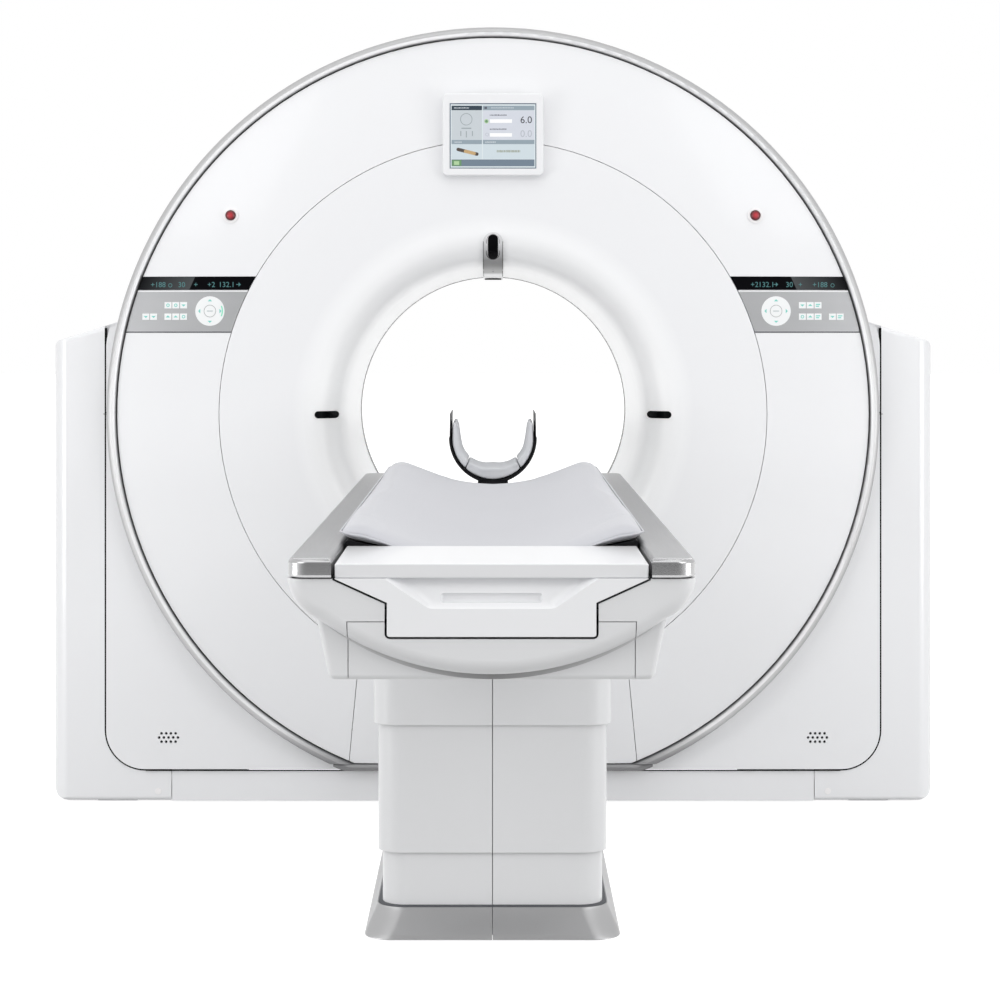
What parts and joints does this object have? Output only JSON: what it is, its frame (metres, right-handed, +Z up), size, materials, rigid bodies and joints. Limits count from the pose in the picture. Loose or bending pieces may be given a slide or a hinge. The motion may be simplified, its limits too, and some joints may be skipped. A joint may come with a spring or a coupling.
{
  "type": "ct scanner",
  "caption": "Ct scanner: round gantry with a bell-mouthed patient bore between side towers, and a couch on a telescoping lift column with a sliding padded cradle.",
  "frame": {"origin": "on the floor below the centre of the scan plane, at the middle of the gantry's four floor anchors", "axes": "+Z up, +Y along the couch into the bore, +X to the right seen from the couch"},
  "size_m": [2.218, 3.416, 1.9497],
  "materials": {
    "white_cover": "satin",
    "frame_steel": "satin",
    "bearing_steel": "polished",
    "dark_metal": "matte",
    "silver_trim": "satin",
    "dark_window": "gloss",
    "screen_glass": "gloss",
    "pale_trim": "gloss",
    "silver_panel": "satin",
    "key_plastic": "satin",
    "dark_plastic": "matte",
    "cast_metal": "matte",
    "grey_paint": "satin",
    "red_plastic": "gloss",
    "brushed_rail": "satin",
    "carbon_shell": "satin",
    "pad_cover": "matte",
    "liner_pad": "matte"
  },
  "bodies": {
    "fixed": {"gantry_base_frame": "frame_steel", "stator_frame": "frame_steel", "bearing_outer_race": "bearing_steel", "drive_coil_ring": "dark_metal", "front_disc_cover": "white_cover", "outer_front_cover": "white_cover", "lower_centre_panel": "white_cover", "ring_trim": "silver_trim", "upper_corner_panels": "white_cover", "lower_corner_panel_right": "white_cover", "lower_corner_panel_left": "white_cover", "tower_cover_right": "white_cover", "tower_cover_left": "white_cover", "base_strip": "white_cover", "drum_cover": "white_cover", "rear_disc_cover": "white_cover", "rear_outer_cover": "white_cover", "rear_lower_cover": "white_cover", "scan_window": "dark_window", "display_housing": "white_cover", "display_screen": "screen_glass", "laser_module": "white_cover", "laser_windows": "dark_window", "laser_bezels": "pale_trim", "control_panel_right": "silver_panel", "control_panel_left": "silver_panel", "readouts": "dark_window", "keypads": "key_plastic", "estop_collars": "pale_trim", "speakers": "dark_plastic", "couch_base_plate": "frame_steel", "base_skirt": "silver_trim", "lower_sleeve": "white_cover", "lift_outer_tube": "frame_steel"},
    "rotor": {"rotor_drum": "cast_metal", "bearing_inner_race": "bearing_steel", "slip_ring": "dark_plastic", "xray_tube": "cast_metal", "collimator": "dark_metal", "detector_arc": "dark_metal", "hv_generator": "grey_paint", "cooling_unit": "grey_paint"},
    "estop_button_left": {"estop_button_left": "red_plastic"},
    "estop_button_right": {"estop_button_right": "red_plastic"},
    "middle_sleeve": {"middle_sleeve": "white_cover"},
    "lift_stage": {"lift_middle_tube": "frame_steel"},
    "couch_top": {"upper_sleeve": "white_cover", "carriage_frame": "frame_steel", "linear_rails": "bearing_steel", "hull_cover": "white_cover", "foot_access_panel": "white_cover", "side_rail_right": "brushed_rail", "side_rail_left": "brushed_rail"},
    "cradle": {"cradle_shell": "carbon_shell", "sledge": "dark_metal", "cradle_cap": "white_cover", "handle_panel": "white_cover", "mattress_pad": "pad_cover", "head_holder": "carbon_shell", "head_liner": "liner_pad"}
  },
  "joints": [
    {"name": "rotor_spin", "type": "hinge", "parent": "fixed", "child": "rotor", "pos_m": [0, 0, 0.981], "axis": [0, 1, 0], "continuous": true},
    {"name": "estop_left", "type": "slide", "parent": "fixed", "child": "estop_button_left", "axis": [0, 1, 0], "range_m": [0, 0.006], "stiffness_N_per_m": 500, "springref_m": -0.002},
    {"name": "estop_right", "type": "slide", "parent": "fixed", "child": "estop_button_right", "axis": [0, 1, 0], "range_m": [0, 0.006], "stiffness_N_per_m": 500, "springref_m": -0.002},
    {"name": "table_lift", "type": "slide", "parent": "fixed", "child": "couch_top", "axis": [0, 0, 1], "range_m": [-0.34, 0.09]},
    {"name": "sleeve_follow", "type": "slide", "parent": "fixed", "child": "middle_sleeve", "axis": [0, 0, 1], "range_m": [-0.1, 0.0275]},
    {"name": "stage_follow", "type": "slide", "parent": "fixed", "child": "lift_stage", "axis": [0, 0, 1], "range_m": [-0.172, 0.046]},
    {"name": "cradle_slide", "type": "slide", "parent": "couch_top", "child": "cradle", "axis": [0, 1, 0], "range_m": [0, 1.7]}
  ],
  "couplings": [
    {"joint": "sleeve_follow", "follows": "table_lift", "ratio": 0.29},
    {"joint": "stage_follow", "follows": "table_lift", "ratio": 0.5}
  ]
}
